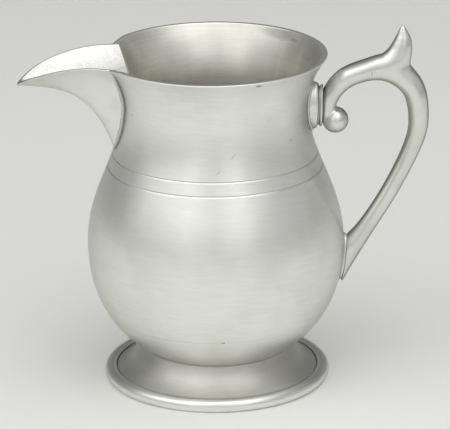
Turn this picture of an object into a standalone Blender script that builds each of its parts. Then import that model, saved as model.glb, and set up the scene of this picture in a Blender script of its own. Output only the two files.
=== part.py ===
"""Pewter creamer: a spun body on a trumpet foot, with a beak spout and a cast scroll handle soldered on.

Metres, +Z up. The creamer stands on the plane z = 0 with its spout towards -X and its handle towards +X.
Every shape is drawn about the axis of the turned body, which stands on an empty at AXIS_X.
"""
import bpy
import bmesh
from math import asin, atan2, cos, hypot, pi, radians, sin, tan
from mathutils import Matrix, Vector

MM = 0.001

# Body: one spun shell, given by its outer surface; each pull is how far a curve holds its end slopes
RIM_HEIGHT = 105.0 * MM
RIM_RADIUS = 34.5 * MM
RIM_SLOPE = radians(54.0)
MOUTH_DEPTH = 16.2 * MM
NECK_RADIUS = 28.8 * MM
BELLY_HEIGHT = 44.3 * MM
BELLY_RADIUS = 39.9 * MM
BASE_HEIGHT = 7.8 * MM
BASE_RADIUS = 12.5 * MM
BODY_WALL = 1.3 * MM
LOWER_PULL = (0.333, 0.717)
UPPER_PULL = (0.40, 0.377)
MOUTH_PULL = (0.41, 0.22)
GROOVE_DROPS = (15.3 * MM, 19.3 * MM)
GROOVE_WIDTH = 0.9 * MM
GROOVE_DEPTH = 0.4 * MM

# Foot: a spun trumpet and the ring round its edge
FOOT_NECK_RADIUS = 22.6 * MM
FOOT_DISC_RADIUS = 31.6 * MM
FOOT_EDGE_HEIGHT = 3.1 * MM
FOOT_WALL = 1.3 * MM
FOOT_NECK_SLOPE = radians(50.0)
FOOT_DISC_SLOPE = radians(17.0)
FOOT_PULL = 0.36
RING_RADIUS = 35.2 * MM
RING_HEIGHT = 3.2 * MM
RING_BEAD = 1.3 * MM
RING_LEDGE = 1.8 * MM
RING_CORNER = 0.4 * MM

# Spout: a folded beak of sheet, given by its keel and its rim edge
SPOUT_LENGTH = 25.9 * MM
SPOUT_TIP_DROP = 9.6 * MM
SPOUT_EAR_DROP = 0.7 * MM
SPOUT_EAR_FALL = 0.4 * MM
SPOUT_HEEL_DROP = 13.9 * MM
SPOUT_HALF_WIDTH = 14.4 * MM
SPOUT_TIP_HALF = 0.5 * MM
SPOUT_WALL = 1.1 * MM
KEEL_BROW = 0.55
KEEL_THROAT = (0.205, 0.875)
EDGE_BEAK = (0.12, 0.58, 0.38)
EDGE_CHEEK = (0.57, 0.27)
TIP_SECTION = ((0.02, 0.50), (0.58, 0.74))
BASE_SECTION = ((0.02, 0.52), (0.58, 0.28))

# Handle: one casting, a scroll from a ball over a crown to a thumb spur, with a long tail under it
HANDLE_WIDTH = 32.5 * MM
HANDLE_DEPTH = 1.12
ROOT_INSET = 1.0 * MM
ROOT_DROP = 0.4 * MM
ROOT_TAIL = 4.0 * MM
ROOT_RADIUS = 2.5 * MM
SHOULDER_RADIUS = 3.4 * MM
CROWN_RISE = 11.7 * MM
CROWN_SHARE = 0.48
CROWN_RADIUS = 3.4 * MM
HIP_RADIUS = 3.9 * MM
HIP_LIFT = 0.45 * MM
BACK_DROP = 3.4 * MM
BACK_PULL = 7.0 * MM
BACK_RADIUS = 3.1 * MM
CALF_RADIUS = 2.65 * MM
CALF_SHARE = 0.605
TAIL_RADIUS = 2.75 * MM
TAIL_LENGTH = 9.5 * MM
TAIL_END_RADIUS = 4.3 * MM
TAIL_END_LENGTH = 5.5 * MM
TAIL_BOW = radians(5.4)
TAIL_LIFT = 0.8 * MM
SPUR_RISE = 13.6 * MM
SPUR_SHARE = 0.64
SPUR_TIP_RADIUS = 0.5 * MM
BALL_RADIUS = 4.1 * MM
BALL_DROP = 4.6 * MM
BALL_SINK = 0.7 * MM

# The thumb spur's run from the crown to its tip: shares of the way along and up, radius, tangent in mm
SPUR_RUN = (
    (0.76, 0.16, 4.0 * MM, (1.6, 1.4)),
    (0.96, 0.44, 3.55 * MM, (0.4, 1.6)),
    (1.02, 0.74, 2.1 * MM, (0.05, 1.3)),
    (1.00, 1.00, SPUR_TIP_RADIUS, (-0.1, 0.8)),
)

# Socket under the handle's root and pad under its tail
SOCKET_DROP = 0.9 * MM
SOCKET_STANDOFF = 5.0 * MM
SOCKET_HALF_HEIGHT = 7.4 * MM
SOCKET_DEPTH = 0.62
SOCKET_ROUND = 0.6 * MM
COLLAR_HALF_HEIGHT = 6.65 * MM
COLLAR_LENGTH = 1.1 * MM
COLLAR_GROOVE = 0.5 * MM
PAD_DROP = 5.9 * MM
PAD_HALF_HEIGHT = 7.4 * MM
PAD_HALF_WIDTH = 3.7 * MM
PAD_THICKNESS = 0.8 * MM

# Joints: the clearance between pieces and the size of the solder that fills them
GAP = 0.3 * MM
SOLDER_GAP = 0.2 * MM
SOLDER_RADIUS = 0.38 * MM
SOLDER_FILLET = 1.8 * MM

# How far the spout and its channel run on into the body, and where the channel starts behind the tip
SPOUT_BASE = 1.14
CHANNEL_BASE = 1.24
CHANNEL_START = 0.07
SEAM_END = 0.97
CLEAR = 6.0 * MM

# Facets
TURN_STEPS = 48
OVAL_STEPS = 28
SECTION_STEPS = 7
SPOUT_STEPS = 15
SEAM_STEPS = 16
ROD_STEPS = 7
HANDLE_SIDES = 5
BEAD_SIDES = 2
OUTER_STEPS = (10, 9, 6)
INNER_STEPS = (8, 7, 5)
FOOT_STEPS = 8
LIP_STEPS = 5
RING_STEPS = 5
FINE_STEPS = 60
WELD = 0.01 * MM
TINY = 1e-9

# Heights that follow the rim and the belly
NECK_HEIGHT = RIM_HEIGHT - MOUTH_DEPTH
GROOVE_HEIGHTS = [NECK_HEIGHT - drop for drop in GROOVE_DROPS]
SPOUT_REACH = RIM_RADIUS + SPOUT_LENGTH
SPOUT_TIP_HEIGHT = RIM_HEIGHT - SPOUT_TIP_DROP
SPOUT_RIM_HEIGHT = RIM_HEIGHT - SPOUT_EAR_DROP
SPOUT_HEEL_HEIGHT = NECK_HEIGHT - SPOUT_HEEL_DROP
SOCKET_HEIGHT = NECK_HEIGHT - SOCKET_DROP
PAD_HEIGHT = BELLY_HEIGHT - PAD_DROP

PEWTER = (0.62, 0.62, 0.60, 1.0)
SOLDER_GREY = (0.50, 0.50, 0.49, 1.0)


def bezier(p0, p1, p2, p3, t):
    """Point at t on a cubic curve."""
    u = 1 - t
    return u ** 3 * p0 + 3 * t * u ** 2 * p1 + 3 * t ** 2 * u * p2 + t ** 3 * p3


def curve_points(controls, steps):
    return [bezier(*controls, i / steps) for i in range(steps + 1)]


def rz(r, z):
    """A point of a turned profile: radius and height."""
    return Vector((r, z))


def body_curves():
    """The outer surface as three curves: base to belly, belly to neck, neck to rim."""
    lip = BODY_WALL / 2
    base = rz(BASE_RADIUS, BASE_HEIGHT)
    belly = rz(BELLY_RADIUS, BELLY_HEIGHT)
    neck = rz(NECK_RADIUS, NECK_HEIGHT)
    rim = rz(RIM_RADIUS - lip * (1 - sin(RIM_SLOPE)), RIM_HEIGHT - lip * (1 + cos(RIM_SLOPE)))
    rise = belly.y - base.y
    waist = neck.y - belly.y
    flare = rim.y - neck.y
    spread = LOWER_PULL[0] * (belly.x - base.x)
    lower = (base, base + rz(spread, 0), belly - rz(0, LOWER_PULL[1] * rise), belly)
    upper = (belly, belly + rz(0, UPPER_PULL[0] * waist), neck - rz(0, UPPER_PULL[1] * waist), neck)
    along = rz(cos(RIM_SLOPE), sin(RIM_SLOPE))
    mouth = (neck, neck + rz(0, MOUTH_PULL[0] * flare), rim - along * (MOUTH_PULL[1] * flare), rim)
    return lower, upper, mouth


def smooth_profile(steps):
    """Outer profile from the rim down to the base, with no grooves; steps for each of the three curves."""
    lower, upper, mouth = body_curves()
    points = curve_points(lower, steps[0])[:-1] + curve_points(upper, steps[1])[:-1]
    return (points + curve_points(mouth, steps[2]))[::-1]


FINE = smooth_profile((FINE_STEPS, FINE_STEPS, FINE_STEPS))
OUTER = smooth_profile(OUTER_STEPS)


def body_radius(z):
    """Outer radius of the body at a height."""
    if z >= FINE[0].y:
        return RIM_RADIUS
    for high, low in zip(FINE, FINE[1:]):
        if low.y <= z <= high.y:
            share = (z - low.y) / max(high.y - low.y, TINY)
            return low.x + (high.x - low.x) * share
    return BASE_RADIUS


def socket_face():
    """Distance from the axis to the front of the handle's socket."""
    return body_radius(SOCKET_HEIGHT) + SOCKET_STANDOFF


HANDLE_REACH = socket_face() + HANDLE_WIDTH
AXIS_X = (SPOUT_REACH - HANDLE_REACH) / 2


def height_at(profile, r):
    """Height of a profile at a radius, or of its nearest end outside it."""
    points = sorted(profile, key=lambda p: p.x)
    for near, far in zip(points, points[1:]):
        if near.x <= r <= far.x:
            return near.y + (far.y - near.y) * (r - near.x) / max(far.x - near.x, TINY)
    return points[0].y if r < points[0].x else points[-1].y


def underside_height(r):
    """Height of the body's outer surface at a radius below the belly."""
    return height_at(curve_points(body_curves()[0], FINE_STEPS), r)


def offset(points, distance):
    """A profile that runs down, moved outwards along its normals."""
    moved = []
    for i, point in enumerate(points):
        along = points[min(i + 1, len(points) - 1)] - points[max(i - 1, 0)]
        normal = Vector((-along.y, along.x)).normalized()
        moved.append(point + normal * distance)
    return moved


def arc(centre, radius, start, end, steps):
    turns = [start + (end - start) * i / steps for i in range(steps + 1)]
    return [centre + rz(radius * cos(a), radius * sin(a)) for a in turns]


def grooved(points):
    """The outer profile with the two V grooves of the shoulder cut in."""
    half = GROOVE_WIDTH / 2
    margin = GROOVE_WIDTH
    kept = [p for p in points if all(abs(p.y - z) > margin for z in GROOVE_HEIGHTS)]
    for z in GROOVE_HEIGHTS:
        kept.append(rz(body_radius(z + half), z + half))
        kept.append(rz(body_radius(z) - GROOVE_DEPTH, z))
        kept.append(rz(body_radius(z - half), z - half))
    return sorted(kept, key=lambda p: -p.y)


def clear_scene():
    for obj in list(bpy.data.objects):
        bpy.data.objects.remove(obj, do_unlink=True)


def new_collection(name):
    made = bpy.data.collections.new(name)
    bpy.context.scene.collection.children.link(made)
    return made


clear_scene()
PARTS = new_collection("pewter_creamer")
CUTTERS = new_collection("cutters")
CUTTERS.hide_render = True
ROOT = bpy.data.objects.new("creamer_axis", None)
ROOT.location = (AXIS_X, 0, 0)
PARTS.objects.link(ROOT)


def metal(name, colour, roughness):
    made = bpy.data.materials.new(name)
    made.use_nodes = True
    shader = made.node_tree.nodes["Principled BSDF"]
    shader.inputs["Base Color"].default_value = colour
    shader.inputs["Roughness"].default_value = roughness
    shader.inputs["Metallic"].default_value = 1.0
    return made


def place(name, data, cutter=False):
    """An object on the creamer's axis: a piece, or a hidden cutter."""
    made = bpy.data.objects.new(name, data)
    made.parent = ROOT
    if cutter:
        made.hide_render = True
        made.display_type = "WIRE"
        CUTTERS.objects.link(made)
    else:
        PARTS.objects.link(made)
    return made


def finish(piece, colour, roughness):
    piece.data.materials.append(metal(piece.name, colour, roughness))


def turned(name, profile, closed, cutter=False):
    """A solid of revolution about Z from a profile that runs down its outer side."""
    mesh = bpy.data.meshes.new(name)
    count = len(profile)
    edges = [(i, i + 1) for i in range(count - 1)]
    if closed:
        edges.append((count - 1, 0))
    mesh.from_pydata([(p.x, 0, p.y) for p in profile], edges, [])
    made = place(name, mesh, cutter)
    screw = made.modifiers.new("turn", "SCREW")
    screw.axis = "Z"
    screw.angle = 2 * pi
    screw.steps = TURN_STEPS
    screw.render_steps = TURN_STEPS
    screw.use_merge_vertices = True
    screw.merge_threshold = WELD
    screw.use_smooth_shade = True
    return made


def boolean(piece, operation, other):
    cut = piece.modifiers.new(operation.lower(), "BOOLEAN")
    cut.operation = operation
    cut.solver = "EXACT"
    cut.object = other


def mesh_object(name, bm, cutter=False):
    bmesh.ops.recalc_face_normals(bm, faces=bm.faces)
    mesh = bpy.data.meshes.new(name)
    bm.to_mesh(mesh)
    bm.free()
    mesh.shade_smooth()
    mesh.set_sharp_from_angle(angle=radians(40))
    return place(name, mesh, cutter)


def loft(name, rings, cutter=False):
    """A closed solid through planar rings of equal count."""
    bm = bmesh.new()
    loops = [[bm.verts.new(p) for p in ring] for ring in rings]
    for near, far in zip(loops, loops[1:]):
        for i in range(len(near)):
            j = (i + 1) % len(near)
            bm.faces.new((near[i], near[j], far[j], far[i]))
    bm.faces.new(loops[0])
    bm.faces.new(loops[-1])
    return mesh_object(name, bm, cutter)


def rod(name, route, depth=1.0, cyclic=False, sides=BEAD_SIDES):
    """A round bar along a list of (point, radius, handle) with a Bezier handle vector, as a closed mesh."""
    data = bpy.data.curves.new(name, "CURVE")
    data.dimensions = "3D"
    data.bevel_depth = MM
    data.bevel_resolution = sides
    data.use_fill_caps = not cyclic
    data.resolution_u = ROD_STEPS
    smooth = route[0][2] is not None
    spline = data.splines.new("BEZIER" if smooth else "POLY")
    points = spline.bezier_points if smooth else spline.points
    points.add(len(route) - 1)
    spline.use_cyclic_u = cyclic
    for made, (point, radius, handle) in zip(points, route):
        made.radius = radius / MM
        if smooth:
            made.co = point
            made.handle_left = point - handle
            made.handle_right = point + handle
        else:
            made.co = (*point, 1.0)
    curve = bpy.data.objects.new(name, data)
    CUTTERS.objects.link(curve)
    graph = bpy.context.evaluated_depsgraph_get()
    mesh = bpy.data.meshes.new_from_object(curve.evaluated_get(graph))
    bpy.data.objects.remove(curve, do_unlink=True)
    bm = bmesh.new()
    bm.from_mesh(mesh)
    bpy.data.meshes.remove(mesh)
    bmesh.ops.remove_doubles(bm, verts=bm.verts, dist=WELD)
    bmesh.ops.scale(bm, vec=(1, depth, 1), verts=bm.verts)
    return bm


def envelope(name, distance):
    """The body's outside as a solid, grown by a distance and carried straight up past the rim."""
    wall = offset(OUTER, distance)
    wall[0] = rz(RIM_RADIUS + distance, wall[0].y)
    top = RIM_HEIGHT + CLEAR
    ends = [rz(0, top), rz(RIM_RADIUS + distance, top)]
    return turned(name, ends + wall + [rz(0, wall[-1].y)], False, cutter=True)


# Spout curves, as (x, y, z) from the body's axis


def keel_point(s):
    """The spout's lower edge: the beak's tip at 0, the heel on the body at 1, on into the body past 1."""
    tip = Vector((-SPOUT_REACH, 0, SPOUT_TIP_HEIGHT))
    heel = Vector((-body_radius(SPOUT_HEEL_HEIGHT), 0, SPOUT_HEEL_HEIGHT))
    length = heel.x - tip.x
    drop = tip.z - heel.z
    brow = tip + Vector((KEEL_BROW * length, 0, 0))
    throat = heel + Vector((-KEEL_THROAT[0] * length, 0, KEEL_THROAT[1] * drop))
    if s <= 1:
        return bezier(tip, brow, throat, heel, s)
    return heel + (heel - throat) * 3 * (s - 1)


def edge_point(s):
    """The spout's upper edge on the +Y side, with the same steps as the keel."""
    tip = Vector((-SPOUT_REACH, SPOUT_TIP_HALF, SPOUT_TIP_HEIGHT + SPOUT_TIP_HALF))
    ear_x = -RIM_RADIUS * cos(asin(SPOUT_HALF_WIDTH / RIM_RADIUS))
    ear = Vector((ear_x, SPOUT_HALF_WIDTH, SPOUT_RIM_HEIGHT))
    span = ear - tip
    beak = tip + Vector((EDGE_BEAK[0] * span.x, EDGE_BEAK[1] * span.y, EDGE_BEAK[2] * span.z))
    cheek = ear - Vector((EDGE_CHEEK[0] * span.x, EDGE_CHEEK[1] * span.y, -SPOUT_EAR_FALL))
    if s <= 1:
        return bezier(tip, beak, cheek, ear, s)
    return ear + (ear - cheek) * 3 * (s - 1)


def section_point(s, u, grow):
    """A point of the +Y half of the spout's section: keel at u = 0, upper edge at u = 1, grown outwards."""
    keel = keel_point(s)
    edge = edge_point(s)
    up = Vector((edge.x - keel.x, 0, edge.z - keel.z))
    depth = up.length
    up.normalize()
    pulls = [rz(*a).lerp(rz(*b), min(s, 1)) for a, b in zip(TIP_SECTION, BASE_SECTION)]
    share = bezier(rz(0, 0), *pulls, rz(1, 1), u)
    along = -grow + (depth + grow) * share.x
    return keel + up * along + Vector((0, (edge.y + grow) * share.y, 0))


def section_ring(s, grow, rise):
    """A closed ring of the spout's section, raised above the upper edge to open a channel."""
    half = [section_point(s, i / SECTION_STEPS, grow) for i in range(SECTION_STEPS + 1)]
    if rise:
        half.append(half[-1] + Vector((0, 0, rise)))
    mirrored = [Vector((p.x, -p.y, p.z)) for p in half[:0:-1]]
    return mirrored + half


def spout_rings(start, end, grow, rise):
    steps = [start + (end - start) * i / SPOUT_STEPS for i in range(SPOUT_STEPS + 1)]
    return [section_ring(s, grow, rise) for s in steps]


def spout_normal(s, u):
    """Outward normal of the spout's outer surface."""
    small = 0.002
    across = section_point(s, u + small, 0) - section_point(s, u - small, 0)
    along = section_point(s + small, u, 0) - section_point(s - small, u, 0)
    normal = along.cross(across).normalized()
    top = edge_point(s)
    middle = (keel_point(s) + Vector((top.x, 0, top.z))) / 2
    return normal if normal.dot(section_point(s, u, 0) - middle) > 0 else -normal


def body_normal(point):
    """Outward normal of the body's outer surface beside a point."""
    small = 0.1 * MM
    slope = (body_radius(point.z + small) - body_radius(point.z - small)) / (2 * small)
    r = hypot(point.x, point.y)
    return Vector((point.x / r, point.y / r, -slope)).normalized()


def seam_point(u, clear):
    """Centre of a bead in the corner between spout and body, as far from the one as from the other."""
    outside = 0.4
    inside = SPOUT_BASE
    for _ in range(40):
        s = (outside + inside) / 2
        p = section_point(s, u, 0)
        if hypot(p.x, p.y) > body_radius(p.z):
            outside = s
        else:
            inside = s
    from_spout = spout_normal(s, u)
    from_body = body_normal(p)
    return p + (from_spout + from_body) * clear / (1 + from_spout.dot(from_body))


# Pieces


def make_body(channel):
    outer = grooved(OUTER)
    lip_centre = rz(RIM_RADIUS - BODY_WALL / 2, RIM_HEIGHT - BODY_WALL / 2)
    lip = arc(lip_centre, BODY_WALL / 2, RIM_SLOPE + pi / 2, RIM_SLOPE - pi / 2, LIP_STEPS)
    inner = offset(smooth_profile(INNER_STEPS), -BODY_WALL)[::-1]
    profile = [rz(0, BASE_HEIGHT + BODY_WALL)] + inner[:-1] + lip + outer[1:] + [rz(0, BASE_HEIGHT)]
    body = turned("body", profile, False)
    boolean(body, "DIFFERENCE", channel)
    finish(body, PEWTER, 0.34)


def foot_flare():
    """The trumpet's outer surface from its top, under the body, to its edge."""
    top = rz(FOOT_NECK_RADIUS, underside_height(FOOT_NECK_RADIUS) - GAP)
    edge = rz(FOOT_DISC_RADIUS, FOOT_EDGE_HEIGHT)
    pull = (edge - top).length * FOOT_PULL
    steep = top + rz(cos(FOOT_NECK_SLOPE), -sin(FOOT_NECK_SLOPE)) * pull
    flat = edge - rz(cos(FOOT_DISC_SLOPE), -sin(FOOT_DISC_SLOPE)) * pull
    return curve_points((top, steep, flat, edge), FOOT_STEPS)


def foot_inside():
    """The trumpet's inner surface, from its edge up to where it stops under the body."""
    inner = offset(foot_flare(), -FOOT_WALL)
    inner[-1] = rz(FOOT_DISC_RADIUS, FOOT_EDGE_HEIGHT - FOOT_WALL)
    inner[0].y = underside_height(inner[0].x) - GAP
    return inner[::-1]


def make_foot():
    foot = turned("foot", foot_flare() + foot_inside(), True)
    finish(foot, PEWTER, 0.34)


def make_ring():
    inner = FOOT_DISC_RADIUS + GAP
    seat = FOOT_EDGE_HEIGHT - FOOT_WALL - GAP
    crest = rz(inner + RING_CORNER, RING_HEIGHT)
    reach = RING_RADIUS - crest.x
    rise = RING_HEIGHT - RING_BEAD
    top = [rz(inner, RING_HEIGHT - RING_CORNER), crest]
    turns = [pi / 2 * i / RING_STEPS for i in range(1, RING_STEPS)]
    brow = [crest + rz(reach * sin(turn), rise * (cos(turn) - 1)) for turn in turns]
    bead = arc(rz(RING_RADIUS - RING_BEAD, RING_BEAD), RING_BEAD, 0, -pi / 2, RING_STEPS)
    ledge = [rz(inner - RING_LEDGE, 0), rz(inner - RING_LEDGE, seat), rz(inner, seat)]
    ring = turned("foot_rim_ring", top + brow + bead + ledge, True)
    finish(ring, PEWTER, 0.28)


def make_spout(channel):
    spout = loft("spout", spout_rings(0, SPOUT_BASE, 0, 0))
    boolean(spout, "DIFFERENCE", channel)
    boolean(spout, "DIFFERENCE", envelope("spout_trim", GAP))
    finish(spout, PEWTER, 0.32)


def make_socket():
    face = socket_face()
    inside = body_radius(SOCKET_HEIGHT) - CLEAR
    collar = face - COLLAR_LENGTH
    groove = collar - COLLAR_GROOVE
    big = SOCKET_HALF_HEIGHT
    small = COLLAR_HALF_HEIGHT
    bottom = small - COLLAR_GROOVE
    corner = SOCKET_ROUND / 2
    outline = [
        (inside, 0),
        (inside, big),
        (groove - 2 * SOCKET_ROUND, big),
        (groove - corner, big - corner / 2),
        (groove, big - SOCKET_ROUND),
        (groove, bottom),
        (collar - COLLAR_GROOVE / 2, bottom),
        (collar, small),
        (face - corner, small),
        (face, small - corner),
        (face, 0),
    ]
    bm = bmesh.new()
    verts = [bm.verts.new((x, 0, r)) for x, r in outline]
    edges = [bm.edges.new(pair) for pair in zip(verts, verts[1:])]
    bmesh.ops.spin(
        bm, geom=verts + edges, cent=(0, 0, 0), axis=(1, 0, 0), angle=2 * pi,
        steps=OVAL_STEPS, use_merge=True)
    bmesh.ops.remove_doubles(bm, verts=bm.verts, dist=WELD)
    bmesh.ops.scale(bm, vec=(1, SOCKET_DEPTH, 1), verts=bm.verts)
    bmesh.ops.translate(bm, vec=(0, 0, SOCKET_HEIGHT), verts=bm.verts)
    socket = mesh_object("handle_socket", bm)
    boolean(socket, "DIFFERENCE", envelope("socket_trim", GAP))
    finish(socket, PEWTER, 0.30)


def make_pad():
    bm = bmesh.new()
    bmesh.ops.create_cone(bm, cap_ends=True, segments=OVAL_STEPS, radius1=1, radius2=1, depth=1)
    bmesh.ops.rotate(bm, verts=bm.verts, cent=(0, 0, 0), matrix=Matrix.Rotation(pi / 2, 3, "Y"))
    length = 4 * CLEAR
    bmesh.ops.scale(bm, vec=(length, PAD_HALF_WIDTH, PAD_HALF_HEIGHT), verts=bm.verts)
    bmesh.ops.translate(bm, vec=(body_radius(PAD_HEIGHT), 0, PAD_HEIGHT), verts=bm.verts)
    pad = mesh_object("handle_pad", bm)
    boolean(pad, "INTERSECT", envelope("pad_front", GAP + PAD_THICKNESS))
    boolean(pad, "DIFFERENCE", envelope("pad_back", GAP))
    finish(pad, PEWTER, 0.32)


def quarter_round(foot, crown):
    """A quarter ellipse as two curves: tangents at its foot, middle and crown, and its middle point."""
    share = 4 / 3 * tan(pi / 16)
    run = crown.x - foot.x
    rise = crown.z - foot.z
    middle = Vector((crown.x - run * cos(pi / 4), 0, foot.z + rise * sin(pi / 4)))
    upright = Vector((0, 0, rise * share))
    level = Vector((run * share, 0, 0))
    return upright, middle, (upright + level) * sin(pi / 4), level


def handle_points():
    """Where the handle's strokes turn: root on the socket, crown, back and the landing on the pad."""
    root = Vector((socket_face() + ROOT_INSET, 0, SOCKET_HEIGHT - ROOT_DROP))
    back = Vector((HANDLE_REACH - BACK_RADIUS, 0, SOCKET_HEIGHT - BACK_DROP))
    crown = Vector((root.x + CROWN_SHARE * (back.x - root.x), 0, SOCKET_HEIGHT + CROWN_RISE))
    pad_front = body_radius(PAD_HEIGHT) + PAD_THICKNESS + 2 * GAP
    landing = Vector((pad_front, 0, PAD_HEIGHT + TAIL_LIFT))
    return root, crown, back, landing


def scroll_route():
    """The upper stroke, from the ball over the crown to the tip of the thumb spur."""
    root, crown, back, _ = handle_points()
    upright, middle, diagonal, level = quarter_round(root, crown)
    run = SPUR_SHARE * (back.x - crown.x)
    route = [
        (root - Vector((0, 0, ROOT_TAIL)), ROOT_RADIUS, Vector((0, 0, MM))),
        (root, ROOT_RADIUS, upright),
        (middle, SHOULDER_RADIUS, diagonal),
        (crown, CROWN_RADIUS, level),
    ]
    for along, up, radius, (pull_x, pull_z) in SPUR_RUN:
        point = crown + Vector((along * run, 0, up * SPUR_RISE))
        route.append((point, radius, Vector((pull_x, 0, pull_z)) * MM))
    return route


def tail_route():
    """The lower stroke, from inside the crown round the back and straight down to the pad."""
    _, crown, back, landing = handle_points()
    _, hip, diagonal, _ = quarter_round(back, crown)
    chord = back - landing
    slope = atan2(chord.z, chord.x) - TAIL_BOW
    way = Vector((-cos(slope), 0, -sin(slope)))
    inward = Vector((-sin(slope), 0, cos(slope)))
    calf_length = CALF_SHARE * chord.length
    calf = landing - way * calf_length
    tail = landing - way * TAIL_LENGTH
    end = landing + way * TAIL_END_LENGTH + inward * (TAIL_END_RADIUS - TAIL_RADIUS)
    pull = way * (calf_length - TAIL_LENGTH) / 3
    inside = CROWN_RADIUS / 4
    return [
        (crown - Vector((inside, 0, inside)), CROWN_RADIUS - inside, Vector((MM, 0, 0))),
        (hip + Vector((HIP_LIFT, 0, HIP_LIFT)), HIP_RADIUS, -diagonal),
        (back, BACK_RADIUS, Vector((0, 0, -BACK_PULL))),
        (calf, CALF_RADIUS, pull),
        (tail, TAIL_RADIUS, pull),
        (end, TAIL_END_RADIUS, pull / 2),
    ]


def block_cutter(name, size, centre):
    bm = bmesh.new()
    bmesh.ops.create_cube(bm, size=1)
    bmesh.ops.scale(bm, vec=size, verts=bm.verts)
    bmesh.ops.translate(bm, vec=centre, verts=bm.verts)
    return mesh_object(name, bm, cutter=True)


def make_handle():
    handle = mesh_object("handle", rod("handle", scroll_route(), HANDLE_DEPTH, sides=HANDLE_SIDES))
    tail = mesh_object("tail", rod("tail", tail_route(), HANDLE_DEPTH, sides=HANDLE_SIDES), cutter=True)
    bm = bmesh.new()
    bmesh.ops.create_uvsphere(bm, u_segments=16, v_segments=10, radius=BALL_RADIUS)
    centre = Vector((socket_face() + BALL_RADIUS - BALL_SINK, 0, SOCKET_HEIGHT - BALL_DROP))
    bmesh.ops.translate(bm, vec=centre, verts=bm.verts)
    ball = mesh_object("ball", bm, cutter=True)
    face = socket_face() + GAP
    size = Vector((2, 6, 6)) * CLEAR
    flat = block_cutter("socket_flat", size, Vector((face - CLEAR, 0, SOCKET_HEIGHT)))
    boolean(handle, "UNION", tail)
    boolean(handle, "UNION", ball)
    boolean(handle, "DIFFERENCE", flat)
    boolean(handle, "DIFFERENCE", envelope("tail_trim", PAD_THICKNESS + 2 * GAP))
    finish(handle, PEWTER, 0.26)


# Solder


def solder(name, points, cyclic):
    bead = mesh_object(name, rod(name, [(p, SOLDER_RADIUS, None) for p in points], cyclic=cyclic))
    finish(bead, SOLDER_GREY, 0.42)


def make_spout_solder():
    clear = GAP + SOLDER_RADIUS
    half = [seam_point(SEAM_END * i / SEAM_STEPS, clear) for i in range(SEAM_STEPS + 1)]
    mirrored = [Vector((p.x, -p.y, p.z)) for p in half[:0:-1]]
    solder("spout_solder", mirrored + half, False)


def oval_seam(height, half_height, half_width):
    """Points round an oval on the handle side of the body, clear of both the body and the piece."""
    clear = SOLDER_GAP + SOLDER_RADIUS
    points = []
    for i in range(OVAL_STEPS):
        turn = 2 * pi * i / OVAL_STEPS
        y = (half_width + clear) * cos(turn)
        z = height + (half_height + clear) * sin(turn)
        r = body_radius(z) + clear
        points.append(Vector((r * cos(asin(y / r)), y, z)))
    return points


def make_socket_solder():
    half_width = SOCKET_HALF_HEIGHT * SOCKET_DEPTH
    solder("socket_solder", oval_seam(SOCKET_HEIGHT, SOCKET_HALF_HEIGHT, half_width), True)


def make_pad_solder():
    solder("pad_solder", oval_seam(PAD_HEIGHT, PAD_HALF_HEIGHT, PAD_HALF_WIDTH), True)


def make_foot_solder():
    """The fillet inside the foot, where the trumpet meets the body's underside."""
    inside = foot_inside()
    corner_r = inside[-1].x - GAP
    low = inside[-1].y - SOLDER_FILLET
    tip_r = corner_r - SOLDER_FILLET
    profile = [rz(corner_r, underside_height(corner_r) - GAP), rz(corner_r, low),
               rz(tip_r, underside_height(tip_r) - GAP)]
    finish(turned("foot_solder", profile, True), SOLDER_GREY, 0.42)


def make_ring_solder():
    """The fillet under the foot, where its edge sits on the ring's ledge."""
    inside = foot_inside()
    wall = FOOT_DISC_RADIUS - RING_LEDGE
    tip = wall - SOLDER_FILLET / 2
    top = height_at(inside, wall) - GAP
    profile = [rz(wall, top), rz(wall, top - SOLDER_FILLET / 2), rz(tip, height_at(inside, tip) - GAP)]
    finish(turned("ring_solder", profile, True), SOLDER_GREY, 0.42)


CHANNEL = loft("spout_channel", spout_rings(CHANNEL_START, CHANNEL_BASE, -SPOUT_WALL, CLEAR), cutter=True)
make_body(CHANNEL)
make_foot()
make_ring()
make_spout(CHANNEL)
make_socket()
make_pad()
make_handle()
make_spout_solder()
make_socket_solder()
make_pad_solder()
make_foot_solder()
make_ring_solder()
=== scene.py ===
from math import acos, asin, atan2, cos, pi, radians, sin, sqrt

import bmesh
import bpy
from mathutils import Matrix, Vector


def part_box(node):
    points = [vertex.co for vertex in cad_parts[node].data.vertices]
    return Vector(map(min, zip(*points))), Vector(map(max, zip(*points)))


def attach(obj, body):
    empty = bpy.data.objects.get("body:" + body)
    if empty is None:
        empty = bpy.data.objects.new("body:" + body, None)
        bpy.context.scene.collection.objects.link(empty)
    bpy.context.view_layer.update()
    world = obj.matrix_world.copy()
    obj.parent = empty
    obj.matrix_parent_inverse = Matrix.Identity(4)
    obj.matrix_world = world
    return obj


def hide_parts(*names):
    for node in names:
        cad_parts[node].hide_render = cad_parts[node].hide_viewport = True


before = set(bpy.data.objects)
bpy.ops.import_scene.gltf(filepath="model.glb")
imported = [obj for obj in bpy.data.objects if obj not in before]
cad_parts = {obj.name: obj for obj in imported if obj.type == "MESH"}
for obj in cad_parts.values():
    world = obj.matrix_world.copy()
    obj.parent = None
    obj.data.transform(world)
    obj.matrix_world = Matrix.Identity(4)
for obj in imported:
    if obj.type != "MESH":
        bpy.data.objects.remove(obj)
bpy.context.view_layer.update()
mm = 0.001
weld = 0.005 * mm
speck = 0.002 * mm
noGap = 1e-9
creaseAngle = 32
ringLow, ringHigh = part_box("foot_rim_ring")
bodyLow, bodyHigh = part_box("body")
axisX = (ringLow.x + ringHigh.x) / 2  # the turned pieces stand on this axis
print("frame loaded, axis of the turned pieces at", round(axisX / mm, 2), "mm")


# Curves and meshes

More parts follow.
